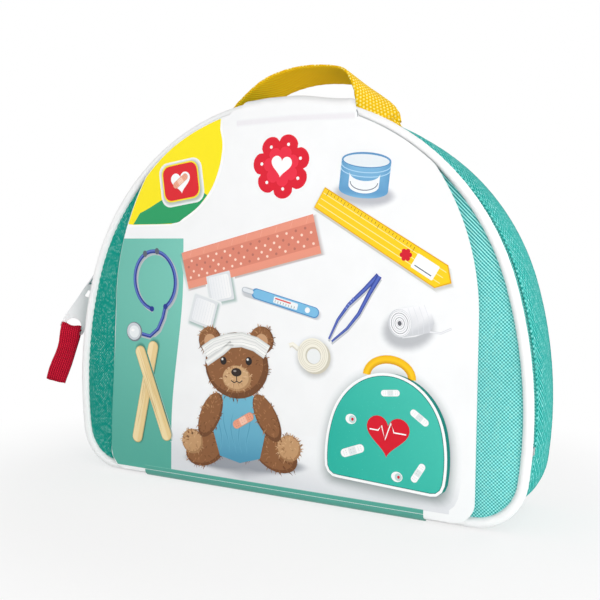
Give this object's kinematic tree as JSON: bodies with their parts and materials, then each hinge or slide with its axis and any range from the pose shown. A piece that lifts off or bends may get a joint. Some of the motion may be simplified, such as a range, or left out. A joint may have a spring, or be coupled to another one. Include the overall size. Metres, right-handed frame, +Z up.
{
  "type": "toy doctor case",
  "caption": "Soft arch-shaped fabric case with a zipped front lid hinged at the bottom, a webbing handle and a printed card sleeve, for a toy doctor set.",
  "frame": {"origin": "on the table under the middle of the case, on the underside of the card sleeve, half-way between the front piping's centre and the back face", "axes": "+X to the right as the lid is looked at, +Y from the lid to the back, +Z up"},
  "size_m": [0.3028, 0.0633, 0.2417],
  "materials": {
    "teal_cloth": "woven polyester",
    "foam": "soft foam",
    "lining": "smooth woven lining",
    "binding": "non-woven binding",
    "zip_tape": "woven tape",
    "zip_coil": "nylon coil",
    "steel": "nickel plated",
    "yellow_webbing": "ribbed webbing",
    "white_piping": "coated piping",
    "pale_plastic": "satin",
    "red_webbing": "woven webbing",
    "card": "coated card"
  },
  "bodies": {
    "tub": {"gusset": "teal_cloth", "back_panel": "teal_cloth", "back_foam": "foam", "tub_lining": "lining", "back_binding": "binding", "zip_tape_rear": "zip_tape", "zip_coil_rear": "zip_coil", "zip_stops_rear": "steel", "handle_feet": "yellow_webbing"},
    "lid": {"front_panel": "teal_cloth", "front_foam": "foam", "front_lining": "lining", "front_piping": "white_piping", "piping_flange": "binding", "front_binding": "binding", "lid_band": "teal_cloth", "zip_tape_front": "zip_tape", "zip_coil_front": "zip_coil", "zip_stops_front": "steel"},
    "slider": {"slider": "steel"},
    "link": {"wire_link": "steel"},
    "triangle": {"pull_triangle": "pale_plastic"},
    "tab": {"pull_tab": "red_webbing"},
    "handle": {"handle_arch": "yellow_webbing"},
    "sleeve_front": {"sleeve_front": "card"},
    "sleeve_back": {"sleeve_back": "card"}
  },
  "joints": [
    {"name": "lid_open", "type": "hinge", "parent": "tub", "child": "lid", "pos_m": [0, -0.016, 0], "axis": [1, 0, 0], "range_deg": [0, 75]},
    {"name": "slider_run", "type": "hinge", "parent": "tub", "child": "slider", "pos_m": [0, -0.016, 0.0809], "axis": [0, 1, 0], "range_deg": [0, 41]},
    {"name": "link_swing", "type": "hinge", "parent": "slider", "child": "link", "pos_m": [-0.12366, -0.016, 0.13212], "axis": [0, 1, 0], "range_deg": [-3, 80]},
    {"name": "triangle_swing", "type": "hinge", "parent": "link", "child": "triangle", "pos_m": [-0.14173, -0.016, 0.11206], "axis": [0, 1, 0], "range_deg": [-2, 40]},
    {"name": "tab_fold", "type": "hinge", "parent": "triangle", "child": "tab", "pos_m": [-0.15239, -0.02346, 0.08282], "axis": [0.7483, 0.524, -0.4067], "range_deg": [-10, 60]},
    {"name": "handle_lean", "type": "hinge", "parent": "tub", "child": "handle", "pos_m": [0, 0.005, 0.20579], "axis": [1, 0, 0], "range_deg": [-16, 44]},
    {"name": "sleeve_front_off", "type": "slide", "parent": "lid", "child": "sleeve_front", "axis": [0, -1, 0], "range_m": [0, 0.08]},
    {"name": "sleeve_back_off", "type": "slide", "parent": "tub", "child": "sleeve_back", "axis": [0, 1, 0], "range_m": [0, 0.08]}
  ]
}
